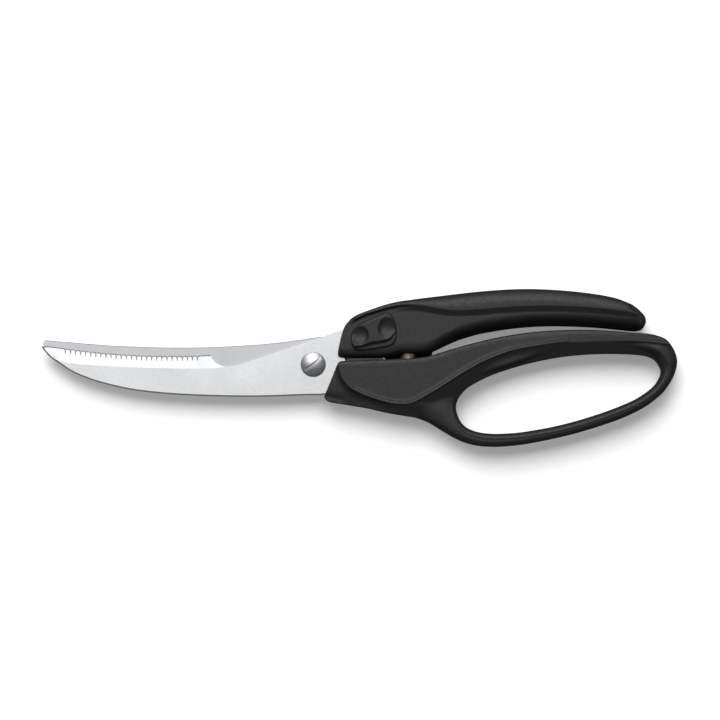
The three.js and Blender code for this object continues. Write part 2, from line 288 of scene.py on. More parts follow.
def relief(name, loops, top, bottom, rims=(0.3, 1.0), lines=(), spacing=1.0, sharp=35):
    """A solid over a flat outline (its outer loop, then its holes), with its upper and lower heights
    given by top(points) and bottom(points). Rows of points follow the outline at the distances in
    rims, and mesh edges follow lines, so that creases stay crisp."""
    loops = [turned_to(loop, i == 0) for i, loop in enumerate(loops)]
    border = []
    for loop in loops:
        first = len(border)
        border += [(first + i, first + (i + 1) % len(loop)) for i in range(len(loop))]
    cloud = Cloud(np.vstack(loops))
    edges = list(border)
    for line in lines:
        numbers = cloud.add(line[is_inside(line, loops)], LINE_STEP)
        edges += [(a, b) for a, b in zip(numbers, numbers[1:]) if a >= 0 and b == a + 1]
    for rim in rims:
        for loop in loops:
            row = inset(loop, rim)
            row = row[is_inside(row, loops)]
            cloud.add(row[gap_to_all(row, loops) > rim * 0.97], max(0.1, rim * 0.3))
    low, high = loops[0].min(axis=0), loops[0].max(axis=0)
    xs = np.arange(low[0], high[0], spacing)
    ys = np.arange(low[1], high[1], spacing * ROW_STEP)
    grid = np.array([(x + (j % 2) * spacing / 2, y) for j, y in enumerate(ys) for x in xs])
    grid = grid[is_inside(grid, loops)]
    cloud.add(grid[gap_to_all(grid, loops) > rims[-1] + spacing * 0.4], spacing * 0.55)

    flat, _, faces, *_ = delaunay_2d_cdt([Vector(p) for p in cloud.points], edges, [], 0, 1e-6)
    points = np.array(flat)
    faces = np.array(faces)
    faces = faces[is_inside(points[faces].mean(axis=1), loops)]
    count = len(points)
    upper = np.column_stack([points, top(points)])
    lower = np.column_stack([points, bottom(points)])
    walls = [(a, b, b + count, a + count) for a, b in border]
    below = faces[:, ::-1] + count
    shells = [tuple(map(int, face)) for face in (*faces, *below)]
    return new_mesh(name, np.vstack([upper, lower]), shells + walls, sharp)


def prism(name, loop, low, high):
    """A straight-walled block over an outline, used to cut a pocket."""
    n = len(loop)
    vertices = np.vstack([np.column_stack([loop, np.full(n, z)]) for z in (low, high)])
    faces = [tuple(range(n))[::-1], tuple(range(n, 2 * n))]
    faces += [(i, (i + 1) % n, (i + 1) % n + n, i + n) for i in range(n)]
    return new_mesh(name, vertices, faces)


def carve(piece, *cutters, sharp=35, operation="DIFFERENCE"):
    """Cuts other solids out of a piece, or joins them to it, and deletes them."""
    for cutter in cutters:
        modifier = piece.modifiers.new("carve", "BOOLEAN")
        modifier.operation = operation
        modifier.solver = "EXACT"
        modifier.object = cutter
    bpy.context.view_layer.update()
    evaluated = piece.evaluated_get(bpy.context.evaluated_depsgraph_get())
    mesh = bpy.data.meshes.new_from_object(evaluated)
    piece.modifiers.clear()
    piece.data = mesh
    mesh.name = piece.name
    for cutter in cutters:
        bpy.data.objects.remove(cutter)
    finish_shading(piece, sharp)
    return piece


def lathe(name, profile, segments=96, sharp=35):
    """Turns a profile of (radius, height) points round the pivot's axis. The profile starts and ends
    on the axis, or else it closes on itself."""
    profile = np.asarray(profile, float)
    angle = np.linspace(0, 2 * math.pi, segments, endpoint=False)
    vertices = [(r * math.cos(a), r * math.sin(a), z) for a in angle for r, z in profile]
    n = len(profile)
    on_axis = profile[0][0] == 0
    faces = []
    for s in range(segments):
        for i in range(n - 1 if on_axis else n):
            j = (i + 1) % n
            t = (s + 1) % segments
            faces.append((s * n + i, t * n + i, t * n + j, s * n + j))
    made = new_mesh(name, vertices, faces, sharp)
    bm = bmesh.new()
    bm.from_mesh(made.data)
    bmesh.ops.remove_doubles(bm, verts=bm.verts, dist=1e-7)
    bmesh.ops.dissolve_degenerate(bm, edges=bm.edges, dist=1e-8)
    bm.to_mesh(made.data)
    bm.free()
    finish_shading(made, sharp)
    return made


# ----------------------------------------------------------------------------------- materials


def material(name, **sockets):
    """A new material with values on its shader's sockets, its node tree and the shader."""
    made = bpy.data.materials.new(name)
    made.use_nodes = True
    shader = made.node_tree.nodes["Principled BSDF"]
    for socket, value in sockets.items():
        shader.inputs[socket.replace("_", " ")].default_value = value
    return made, made.node_tree, shader


def add_node(tree, kind, values=(), **settings):
    node = tree.nodes.new(kind)
    for key, value in settings.items():
        setattr(node, key, value)
    for key, value in dict(values).items():
        node.inputs[key].default_value = value
    return node


def object_coordinates(tree, scale=(1, 1, 1), turn=0.0):
    """Object-space coordinates, turned about Z and then scaled, for patterns at a real size."""
    source = add_node(tree, "ShaderNodeTexCoord")
    turned = add_node(tree, "ShaderNodeMapping", {"Rotation": (0, 0, turn)})
    scaled = add_node(tree, "ShaderNodeMapping", {"Scale": scale})
    tree.links.new(source.outputs["Object"], turned.inputs["Vector"])
    tree.links.new(turned.outputs["Vector"], scaled.inputs["Vector"])
    return scaled.outputs["Vector"]


def noise(tree, vector, scale, detail=2.0, roughness=0.5):
    node = add_node(tree, "ShaderNodeTexNoise", {"Scale": scale, "Detail": detail, "Roughness": roughness})
    tree.links.new(vector, node.inputs["Vector"])
    return node.outputs["Fac"]


def spread(tree, value, low, high):
    """Maps a 0.3 to 0.7 noise value to a range."""
    node = add_node(tree, "ShaderNodeMapRange", {1: 0.3, 2: 0.7, 3: low, 4: high})
    tree.links.new(value, node.inputs[0])
    return node.outputs[0]


def tint(tree, value, dark, light):
    """Mixes two colours by a 0 to 1 value."""
    node = add_node(tree, "ShaderNodeMix", data_type="RGBA")
    node.inputs[6].default_value = (*dark, 1)
    node.inputs[7].default_value = (*light, 1)
    tree.links.new(value, node.inputs[0])
    return node.outputs[2]


def bump(tree, shader, height, strength, distance):
    node = add_node(tree, "ShaderNodeBump", {"Strength": strength, "Distance": distance})
    tree.links.new(height, node.inputs["Height"])
    tree.links.new(node.outputs["Normal"], shader.inputs["Normal"])


def moulded_polyamide():
    """Black glass-filled polyamide: a fine spark-eroded grain with faint cloudiness."""
    made, tree, shader = material("black_polyamide", Roughness=0.5)
    plain = object_coordinates(tree)
    cloud = spread(tree, noise(tree, plain, 260, 3), 0, 1)
    black = tint(tree, cloud, (0.0060, 0.0060, 0.0068), (0.0084, 0.0084, 0.0092))
    tree.links.new(black, shader.inputs["Base Color"])
    tree.links.new(spread(tree, noise(tree, plain, 900, 2), 0.57, 0.66), shader.inputs["Roughness"])
    bump(tree, shader, noise(tree, plain, 1900, 2, 0.6), 0.85, 0.0001)
    return made


def brushed_steel(name, dark, light, rough, turn=0.8):
    """Ground stainless steel: hair-fine scratches at an angle of turn, and soft patches from polishing."""
    made, tree, shader = material(name, Metallic=1.0, Roughness=rough)
    hair = noise(tree, object_coordinates(tree, (900, 2600, 900), turn), 1, 3, 0.6)
    patch = noise(tree, object_coordinates(tree), 60, 3)
    tree.links.new(tint(tree, spread(tree, hair, 0, 1), dark, light), shader.inputs["Base Color"])
    tree.links.new(spread(tree, patch, rough - 0.03, rough + 0.04), shader.inputs["Roughness"])
    bump(tree, shader, hair, 0.12, 0.00001)
    return made


def polished_steel():
    """Turned and polished steel, slightly cloudy."""
    made, tree, shader = material("polished_steel", Metallic=1.0, Roughness=0.3)
    plain = object_coordinates(tree)
    cloud = spread(tree, noise(tree, plain, 700, 3), 0, 1)
    grey = tint(tree, cloud, (0.41, 0.413, 0.42), (0.47, 0.473, 0.48))
    tree.links.new(grey, shader.inputs["Base Color"])
    tree.links.new(spread(tree, noise(tree, plain, 400, 2), 0.47, 0.51), shader.inputs["Roughness"])
    return made


def spring_bronze():
    """Copper-coloured spring strip, with stains that are darker and smoother."""
    made, tree, shader = material("spring_bronze", Metallic=1.0, Roughness=0.3)
    stain = spread(tree, noise(tree, object_coordinates(tree), 500, 3), 0, 1)
    tree.links.new(tint(tree, stain, (0.66, 0.47, 0.33), (0.86, 0.71, 0.57)), shader.inputs["Base Color"])
    tree.links.new(spread(tree, stain, 0.22, 0.36), shader.inputs["Roughness"])
    return made


PLASTIC = moulded_polyamide()
FRONT_STEEL = brushed_steel("front_blade_steel", (0.64, 0.645, 0.65), (0.74, 0.745, 0.75), 0.42)
# The rear blade's steel is a darker copy of the front's: painted shade, as if the front blade shaded it.
REAR_STEEL_PAINTED_SHADE = brushed_steel("rear_blade_steel_painted_shade", (0.50, 0.505, 0.52), (0.54, 0.545, 0.56), 0.42, 1.57)
BEVEL_STEEL = brushed_steel("ground_bevel_steel", (0.375, 0.378, 0.382), (0.405, 0.408, 0.412), 0.5, 1.57)
# Very dark steel for the blades' steep faces: painted shade that darkens the grooves and the line along the
# edge, and keeps the walls from lighting the other blade.
EDGE_STEEL_PAINTED_SHADE = brushed_steel("edge_painted_shade_steel", (0.16, 0.16, 0.165), (0.22, 0.22, 0.225), 0.55)
INNER_STEEL = brushed_steel("inner_steel", (0.38, 0.38, 0.39), (0.46, 0.46, 0.47), 0.36)
POLISHED = polished_steel()
BRONZE = spring_bronze()


def finish_blade(piece, side, ground):
    """The ground bevel of a blade has a finish of its own, and its sheared walls, groove walls and honed
    edge get very dark steel, which is painted shade. side is 1 for the front blade, whose bevel faces up,
    and -1 for the rear one."""
    piece.data.materials.append(BEVEL_STEEL)
    piece.data.materials.append(EDGE_STEEL_PAINTED_SHADE)
    centres = np.array([polygon.center for polygon in piece.data.polygons])
    on_ground = is_inside(((centres - PIVOT) / MM)[:, :2], [ground])
    for polygon, is_ground in zip(piece.data.polygons, on_ground):
        # Steep faces (walls, groove walls, honed edge) get the very dark steel: painted shade.
        if abs(polygon.normal.z) < 0.6:
            polygon.material_index = 2
        elif is_ground and polygon.normal.z * side > 0:
            polygon.material_index = 1
    bm = bmesh.new()
    bm.from_mesh(piece.data)
    for edge in bm.edges:
        if len({face.material_index for face in edge.link_faces}) > 1:
            edge.smooth = False
    bm.to_mesh(piece.data)
    bm.free()


def show(piece, finish, body, node):
    """Gives a finished piece its material, and puts it on its body in place of a CAD node."""
    piece.data.materials.clear()
    piece.data.materials.append(finish)
    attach(piece, body)
    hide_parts(node)
    return piece


# -------------------------------------------------------------------------------------- blades

GROOVES = 27
GROOVE_PITCH = 2.0
GROOVE_FIRST = -45.4
GROOVE_DEPTH = 2.05
TIP_AT = -99.5  # where the front blade's edge turns straight
BEVEL_DEPTH = 1.1  # how far the front bevel comes down at the edge
SPINE_CHAMFER = 0.55
HONE = 0.4  # width of the fine second bevel along the front edge
REAR_LAND = 0.55  # thickness that the rear bevel leaves at the edge
REAR_CHAMFER = 0.22


def edge_y(x):
    """The front blade's hollow cutting edge, straight towards the tip."""
    return np.where(np.asarray(x) < TIP_AT, 6.57 - 0.12 * (x - TIP_AT), 3.3 + 0.00173 * (x + 56) ** 2)


def serrated_edge():
    """The cutting edge from the bone notch to the tip, with its fine round-bottomed grooves."""
    groove = [(0.34, 0), (0.2, 1), (0.06, GROOVE_DEPTH - 0.15), (-0.08, GROOVE_DEPTH),
              (-0.24, GROOVE_DEPTH - 0.15), (-0.3, 1), (-0.34, 0)]
    rows = [(x, edge_y(x)) for x in (-41.4, -42.4, -43.4, -44.3)]
    for i in range(GROOVES):
        x = GROOVE_FIRST - i * GROOVE_PITCH
        y = edge_y(x)
        rows += [(x + across, y - down) for across, down in groove]
        rows += [(x - step, edge_y(x - step)) for step in (0.78, 1.22)]
    return np.array([*rows, *((x, edge_y(x)) for x in (TIP_AT, -101, -103, -104.7))], float)


def blade_out(points):
    """Outer face: full thickness at the pivot, thinner towards the tip."""
    return BLADE_OUT - 0.9 * ramp(-points[:, 0], 20, 107)


def lock_slot():
    """The slot in the front tang, along which the lock's rivet slides."""
    start = np.array(LOCK_AT)
    end = start + LOCK_TRAVEL * np.array([math.cos(LOCK_TURN), math.sin(LOCK_TURN)])
    radius, quarter = 1.85, math.pi / 2
    return chain(
        arc(radius, LOCK_TURN - quarter, LOCK_TURN + quarter, end),
        arc(radius, LOCK_TURN + quarter, LOCK_TURN + 3 * quarter, start),
    )


FRONT_SPINE = smooth([
    (-106.9, 6.9), (-105.7, 5.3), (-103, 2.5), (-99.7, 0.3), (-95.8, -2.3), (-92, -4.25), (-84, -7.1),
    (-72, -9.9), (-60, -11.4), (-48, -12.2), (-36, -12.6), (-20, -12.7), (-5, -12.2), (3.5, -12.05),
], 0.8)
BEVEL_LINE = smooth([
    (-108, 6.2), (-103.7, 3.2), (-99.7, 1.4), (-96, 0.7), (-90, 0), (-80, -0.7), (-68, -1.2),
    (-52, -1.55), (-40, -1.5), (-35.8, -1.0), (-32, 0.9),
], 0.8)
BONE_NOTCH = smooth([
    (11, 13.5), (2.6, 10.5), (-5.2, 8.0), (-13, 5.3), (-21, 2.6), (-27, 0.5), (-31, -0.6), (-34, -0.9),
    (-36.6, -0.3), (-38.8, 1.2), (-40.6, edge_y(-40.6)),
], 0.5)


def front_blade():
    tang_low = [(13, 4), (30, 4), (31.8, 6), (31.8, 11), (34, 12.8), (44, 12.8)]
    tang_end = smooth([(44, 12.8), (60, 16), (84, 19.4), (112, 19)], 2)
    tang_top = smooth([(112, 23.5), (84, 25.2), (60, 22.6), (38, 20.2), (22, 16.8), (11, 13.5)], 2)
    heel = arc(FRONT_HEEL_R, math.atan2(-12.05, 3.5), math.asin(4 / FRONT_HEEL_R))
    tip = np.array([(-106.3, 7.35), (-106.9, 6.9)])
    outline = chain(FRONT_SPINE, heel, tang_low, tang_end, tang_top, BONE_NOTCH, serrated_edge(), tip)
    ground = np.vstack([BEVEL_LINE, [(-32, 12), (-108, 14)]])
    underside = np.vstack([FRONT_SPINE, [(9, -11.9)]])
    teeth = [GROOVE_FIRST - i * GROOVE_PITCH for i in range(GROOVES - 1)]
    strokes = [(-40.9, -44.9, 9), (-97.9, -104.5, 14), *((x - 0.5, x - 1.54, 6) for x in teeth)]
    hone_rows = [np.array([(x, edge_y(x) - drop) for x in np.linspace(*stroke)])
                 for stroke in strokes for drop in (HONE / 2, HONE)]

    def top(points):
        x, y = points.T
        depth = np.maximum(signed_gap(points, ground), 0)
        reach = np.maximum(edge_y(x) - np.interp(x, *BEVEL_LINE.T), 1.0)
        height = blade_out(points) - BEVEL_DEPTH * np.clip(depth / reach, 0, 1) * (x < -31)
        honed = np.clip(HONE - (edge_y(x) - y), 0, HONE) * (x < -40.5)
        chamfer = np.clip(SPINE_CHAMFER - gap_to(points, underside), 0, SPINE_CHAMFER)
        return height - 1.2 * chamfer - 1.8 * honed

    def bottom(points):
        return np.full(len(points), BLADE_IN)

    made = relief("front_blade_finished", [outline, circle(BORE_R), lock_slot()], top, bottom,
                  rims=(0.14, 0.35, SPINE_CHAMFER, 0.9), lines=[BEVEL_LINE, *hone_rows],
                  spacing=1.4, sharp=25)
    show(made, FRONT_STEEL, "front_half", "front_blade")
    finish_blade(made, 1, ground)


REAR_SPINE = smooth([
    (4.3, 11.1), (-4, 9.9), (-13, 8.7), (-21, 7.9), (-29, 7.35), (-37, 6.95), (-45, 6.7), (-52, 6.65),
    (-60, 6.7), (-68, 6.95), (-76, 7.25), (-84, 7.75), (-92, 8.4), (-100, 9.1), (-106.2, 9.6),
], 0.8)
REAR_EDGE = smooth([
    (-106.5, 7.6), (-99, 4.6), (-88, 2.2), (-72, 0.3), (-56, -0.8), (-42, -2.2), (-30, -4.6),
    (-18, -8.4), (-6, -11.2), (6, -11.4),
], 0.8)
REAR_BEVEL = smooth([
    (-108, 9.1), (-99, 8), (-88, 6.2), (-72, 4.6), (-56, 3.5), (-42, 2.2), (-30, 0), (-18, -4), (-9, -9.4),
], 0.8)


def rear_blade():
    lug_top = 2.75
    tang_low = smooth([
        (6, -11.4), (22, -13), (34, -14.5), (44, -14), (52, -9.5), (62, -4), (78, 2.4), (98, 6),
    ], 2)
    tang_top = smooth([(98, 10), (78, 7), (62, 0.8), (52, -3.6), (44, -7.2)], 2)
    lug = [(32.4, -7.2), (31.8, -6), (31.8, 0.8), (28.2, 1.2), (27.2, lug_top), (27.2, 9.6), (21.4, 9.6),
           (21.4, 7.9), (24.6, 7.9), (24.6, lug_top), (18, lug_top)]
    heel = arc(REAR_HEEL_R, math.asin(lug_top / REAR_HEEL_R), math.atan2(11.1, 4.3))
    tip = np.array([(-106.5, 9.3), (-106.6, 8.4)])
    outline = chain(REAR_EDGE, tang_low, tang_top, lug, heel, REAR_SPINE, tip)
    ground = np.vstack([REAR_BEVEL, [(-9, -16), (-108, 2)]])

    def chamfer(points):
        return np.clip(REAR_CHAMFER - gap_to(points, REAR_SPINE), 0, REAR_CHAMFER)

    def top(points):
        return -BLADE_IN - chamfer(points)

    def bottom(points):
        x = points[:, 0]
        height = blade_out(points)
        depth = np.maximum(signed_gap(points, ground), 0)
        reach = np.maximum(np.interp(x, *REAR_BEVEL.T) - np.interp(x, *REAR_EDGE.T), 1.0)
        height = height - (height - REAR_LAND) * np.clip(depth / reach, 0, 1) * (x < -9)
        return -height + chamfer(points)

    made = relief("rear_blade_finished", [outline, circle(BORE_R)], top, bottom,
                  rims=(0.1, REAR_CHAMFER, 0.9), lines=[REAR_BEVEL], spacing=1.6, sharp=25)
    show(made, REAR_STEEL_PAINTED_SHADE, "rear_half", "rear_blade")
    finish_blade(made, -1, ground)


# ------------------------------------------------------------------------------------- handles

RUN_GAP = 0.35  # room for the other half's heel to turn
SEAT_GAP = 0.15  # room round a handle's own heel

# Straight handle. The style line divides its raised back from the recessed panel.
CROWN = 2.8  # roundness of the handle's back: 2 is an ellipse, more is squarer
GRIP_UNDER = smooth([
    (9.9, 3.0), (11.2, 2.5), (20, 2.5), (28, 2.6), (31, 3.1), (33.6, 3.9), (37, 4.05), (41, 4.05),
    (44.5, 4.3), (47.5, 5.1), (52.2, 7.35), (57, 9.4), (61.7, 10.9), (66.4, 12.1), (76, 13.7),
    (86, 14.7), (97, 14.95), (109, 14.5), (118.4, 13.7), (123, 13.2), (126.5, 12.95),
])
GRIP_TIP = smooth([
    (126.5, 12.95), (129, 13.6), (130.5, 15.4), (130.9, 17.5), (130.1, 19.5), (127.8, 21.9), (125.5, 23.6),
], 0.4)
GRIP_BACK = smooth([
    (125.5, 23.6), (118.4, 26.3), (106.6, 28.3), (92.4, 29.5), (80, 29.65), (66.4, 28.8),
    (52.2, 27.2), (38, 25.4), (28.6, 23.45), (19.2, 20.2), (16.8, 19.15), (14.4, 17.6),
])
GRIP_FRONT = smooth([(14.4, 17.6), (12.4, 15.1), (11.1, 11.6), (10.1, 7.3), (9.6, 4.5), (9.9, 3.0)], 0.4)
STYLE_LINE = smooth([
    (4, 7), (11, 12.8), (14.6, 16.4), (19.1, 19), (22.3, 20.2), (26.2, 21.4), (30.2, 22.5), (34.1, 23.2),
    (38, 23.4), (42, 23.2), (45.9, 22.6), (49.9, 21.9), (53.8, 21.4), (57.7, 21.3), (65.6, 21.7),
    (73.5, 22.4), (85.3, 23), (97, 23), (108.9, 22.4), (116.8, 21.6), (124.7, 20.7), (129.4, 19.8),
    (133, 19),
])


def grip_height(points):
    """Straight handle: a crowned back, a step down at the style line, and a panel that rolls under."""
    x = points[:, 0]
    panel_side = np.vstack([STYLE_LINE, [(133, -5), (4, -5)]])
    over = -signed_gap(points, panel_side)  # positive on the raised back
    back = gap_to(points, GRIP_BACK)
    share = np.clip(over / np.maximum(over + back, 1.8), 0, 1)
    shown = ramp(x, 13.8, 18)  # the step fades out at the front
    crest = PANEL + (HALF - PANEL) * shown
    crown = 0.6 + (crest - 0.6) * (1 - share**CROWN) ** (1 / CROWN)
    narrow = (HALF - PANEL) * ramp(-over / 0.85, 0, 1)
    wide = np.interp(-over, (0, 0.2, 1.0, 1.4, 2.4), (0, 0.05, 0.5, 0.66, HALF - PANEL))
    step = narrow + (wide - narrow) * ramp(x, 30, 42)
    base = np.where(over > 0, crown, crest - shown * step)
    under = gap_to(points, GRIP_UNDER)
    by_blade = np.interp(under, (0, 0.12, 1.1, 2.3, 3.1, 4, 5), (2.2, 3.4, 5.4, 6.1, 6.4, 7.2, 12))
    by_palm = np.interp(under, (0, 2.9, 3.3, 4.4, 5.2, 6.4, 9), (0.2, 5.3, 5.65, 6.2, 6.45, 6.8, 12))
    rolled = by_blade + (by_palm - by_blade) * ramp(x, 40, 58)
    base = lowest(base, rolled, 0.25)
    base = lowest(base, 0.8 + round_rim(gap_to(points, GRIP_FRONT), 0.9, HALF - 0.7, 2.4), 0.3)
    return lowest(base, 0.6 + round_rim(gap_to(points, GRIP_TIP), 4.2, HALF - 0.4, 2.2), 0.4)


def straight_handle():
    outline = chain(GRIP_UNDER, GRIP_TIP, GRIP_BACK, GRIP_FRONT)
    step_offsets = (-0.5, -0.2, 0, 0.25, 0.5, 0.75, 1.0, 1.4, 1.9, 2.4, 2.7)
    made = relief(
        "straight_handle_finished", [outline], grip_height, lambda p: -grip_height(p),
        rims=(0.06, 0.18, 0.36, 0.6, 0.95, 1.4, 2.0, 2.8, 3.7),
        lines=[beside(STYLE_LINE, offset) for offset in step_offsets], spacing=0.8, sharp=50,
    )
    run = prism("run", circle(REAR_HEEL_R + RUN_GAP), -BLADE_OUT - RUN_GAP, BLADE_IN)
    seat = prism("seat", circle(FRONT_ROOM_R + SEAT_GAP), 0, BLADE_OUT + SEAT_GAP)
    lock = prism("lock", [(11, 1.9), (29.4, 1.9), (29.4, 9), (31.2, 10.5), (31.2, 19.5), (13.8, 14.3),
                          (13.8, 3.9), (11, 3.9)], -4.3, 0.05)
    over_shelf = prism("over_shelf", [(27.5, 1.5), (47.5, 1.5), (47.5, 5.4), (27.5, 5.0)], -8, -3.9)
    carve(made, run, seat, lock, over_shelf, spring_pocket(2.5, 8.9), sharp=50)
    return show(made, PLASTIC, "front_half", "straight_handle")


def spring_pocket(low, high, radius=3.8):
    """A round pocket along Y for one end of the spring."""
    angle = np.linspace(0, 2 * math.pi, 48, endpoint=False)
    ring = np.column_stack([SPRING_X + radius * np.cos(angle), radius * np.sin(angle)])
    vertices = [(x, y, z) for y in (low, high) for x, z in ring]
    n = len(ring)
    faces = [tuple(range(n)), tuple(range(n, 2 * n))[::-1]]
    faces += [(i, i + n, (i + 1) % n + n, (i + 1) % n) for i in range(n)]
    return new_mesh("pocket", vertices, faces)


# Loop handle. The plateau is its flat front face, which runs on along the top of the loop.
LOOP_TOP = smooth([
    (10.6, 1.2), (14.4, 1.45), (20, 1.6), (28, 1.85), (38, 2.4), (43, 2.8), (47.5, 3.8), (54.6, 6.0),
    (64.1, 8.65), (73.5, 10.75), (83, 12.25), (90, 12.95), (97, 13.35), (104, 13.5), (111, 13.4),
    (118.4, 12.95), (125.5, 12.35), (130.2, 12.1), (134.9, 11.4),
])
LOOP_BEND = smooth([
    (134.9, 11.4), (137.5, 10.6), (139.8, 8.9), (142.1, 5.2), (143.1, 1), (142, -3.9), (139.7, -8.2),
    (137.3, -11.3), (134.5, -13.8), (130.2, -16.9), (123.1, -20.5), (116, -23.2), (108.9, -25.5),
    (101.9, -27.5), (94.8, -29.2), (87.7, -30.65), (80.6, -31.8), (73.5, -32.4), (68.8, -32.4),
    (64.1, -31.95), (59.3, -30.7), (54.6, -28.5), (49.9, -25.7), (45.2, -22.9), (40.4, -21.1),
    (35.7, -20.3),
])
LOOP_UNDER = smooth([
    (35.7, -20.3), (31, -19.5), (26.3, -18.55), (21.5, -17.4), (16.8, -16.6), (12.1, -15.8),
    (7.6, -15.1), (5.6, -14.5),
])
LOOP_FRONT = smooth([
    (5.6, -14.5), (4.4, -13.2), (4.6, -11.6), (5.2, -10.4), (7.4, -4.9), (9.4, 0), (9.8, 0.7), (10.6, 1.2),
], 0.4)
LOOP_HOLE = smooth([
    (56.1, -17.2), (56.9, -13.7), (59.3, -10.5), (61.7, -8.6), (66.4, -6.0), (71.1, -3.95), (75.9, -2.3),
    (83, -0.15), (90, 1.5), (97.1, 2.8), (104.2, 3.6), (111.3, 4.05), (118.4, 4.15), (125.5, 3.9),
    (130.2, 3.4), (133, 2.5), (135.2, 0.8), (136.7, -2.9), (135.2, -6.9), (132.6, -9.75),
    (127.8, -13.1), (123.1, -15.4), (116, -18.2), (108.9, -20.6), (101.9, -22.65), (94.8, -24.4),
    (87.7, -25.75), (80.6, -26.8), (73.5, -27.25), (68.8, -27.15), (64.1, -26.4), (60, -24.6),
    (57.5, -21.6),
], closed=True)
PLATEAU = smooth([
    (9, 1.5), (9.9, 0.1), (10.6, -3), (12.2, -6.6), (14.8, -9.3), (18.4, -11.2), (22.3, -12.8),
    (26.3, -14.1), (31, -15.2), (35.3, -15.6), (38.6, -15.1), (42, -13.5), (49.9, -8.9), (57.7, -3.9),
    (65.6, 0.6), (73.5, 4.0), (81.4, 6.2), (89.2, 7.5), (97.1, 8.6), (107.8, 9.2), (118.4, 9.3),
    (129, 8.9), (136, 8.3), (141, 7.6),
])


def mixed(a, b, share):
    return a + (b - a) * share


def inner_side(points):
    """Loop handle, height by the distance from the hole: the profile changes round the loop."""
    x, y = points.T
    hole = gap_to(points, LOOP_HOLE, closed=True)
    by_finger = np.interp(
        hole, (0, 0.25, 0.7, 1.0, 1.7, 2.4, 3.2, 4), (1, 3.6, 4.6, 4.95, 5.3, 5.14, 5.2, 5.4)
    )
    by_palm = np.interp(
        hole, (0, 0.25, 0.7, 1.4, 2.1, 2.8, 3.6, 5, 8, 12), (1, 2.8, 4.1, 5.4, 6.2, 6.5, 6.68, 6.95, 7.3, 8)
    )
    by_root = np.interp(hole, (0, 0.25, 0.7, 1.4, 2.4, 4, 8, 12), (1, 2.6, 3.6, 4.3, 4.9, 5.5, 6.3, 7.6))
    by_bend = np.interp(
        hole, (0, 0.25, 1.2, 2.2, 3.2, 4, 4.5, 5.5, 8, 12), (1, 2.4, 4.1, 5.3, 6.2, 6.65, 6.8, 6.95, 7.3, 8)
    )
    upper = mixed(by_root, by_palm, ramp(x, 55, 77))
    upper = mixed(upper, by_bend, ramp(x, 78, 95))
    upper_arm = ramp(y - (-17 + 0.2 * (x - 56)), -7, 7)  # 1 above the hole, 0 below it
    return mixed(by_finger, upper, upper_arm)


def outer_side(points, rim):
    """Loop handle, height by the distance from the rim: from the blades to the lower arm."""
    x = points[:, 0]
    by_blade = np.interp(rim, (0, 0.25, 1.6, 2.3, 2.9, 3.6, 6), (1.8, 3.4, 4.45, 4.6, 4.9, 5.12, 5.6))
    plain = np.interp(rim, (0, 0.25, 4.3, 6), (1.8, 4.0, 7.45, 8.5))
    root = np.interp(rim, (0, 0.3, 1, 2, 4, 6, 9), (1.8, 3.6, 4.4, 5.0, 5.45, 5.7, 6))
    arm = np.interp(rim, (0, 0.3, 1.9, 2.4, 5), (1.8, 4.1, 5.3, 5.6, 6.4))
    outer = mixed(by_blade, plain, ramp(x, 24, 32))
    outer = mixed(outer, root, ramp(x, 35, 48))
    return mixed(outer, arm, ramp(x, 56, 66))


def plateau_beads(x, out):
    """Two fine beads along the plateau's edge, fainter towards the bend."""
    beads = np.interp(
        out, (-2.2, -1.7, -1.2, -0.85, -0.5, -0.05, 0.35), (0, 0.02, 0.16, 0.14, 0.17, 0.32, 0.1)
    )
    beads = beads * ramp(x, 12, 20) * (1 - 0.5 * ramp(x, 66, 90))
    return np.where(out < 0.35, beads, np.maximum(beads - 0.3 * (out - 0.35), 0))


def loop_height(points):
    """Loop handle: a rounded ring round the hole, a lower facet by the blades, and over both the flat
    plateau, whose edge has two fine beads."""
    x, y = points.T
    above = np.vstack([PLATEAU, [(145, 40), (0, 40)]])
    out = -signed_gap(points, above)  # distance outside the plateau
    rim = gap_to(points, np.vstack([LOOP_BEND, LOOP_UNDER]))
    facet = np.where(x < 30, np.minimum(5.1 + 0.09 * (y + 12.4), 6.5), 9)
    ring = lowest(lowest(inner_side(points), outer_side(points, rim), 0.3), facet, 0.2)
    valley = np.exp(-(((x - 50.5) / 5) ** 2) - ((y + 13.5) / 3.2) ** 2)
    ring = ring - 0.55 * valley
    fall = np.interp(out, (0, 0.15, 0.9, 1.6, 2.6, 6), (0, 0.08, 1.3, 1.8, 2.2, 3))
    fall = mixed(fall, 0.5 * np.maximum(out, 0), ramp(x, 24, 36))
    sunk = 1.3 * ramp(x, 114, 141)  # the plateau comes down towards the bend
    base = np.maximum(ring, HALF - fall - sunk)
    edge = 6.3 + round_rim(gap_to(points, LOOP_TOP), 1.6 + ramp(x, 70, 90), 1.2)
    base = lowest(base, edge, 0.1) + plateau_beads(x, out)
    base = lowest(base, 1.8 + 8 * rim, 0.2)
    base = lowest(base, np.where(x > 100, 4.4 + round_rim(rim, 1.8, 2.9), 9), 0.2)
    return lowest(base, 1.4 + round_rim(gap_to(points, LOOP_FRONT), 0.6, HALF - 1, 2.4), 0.2)


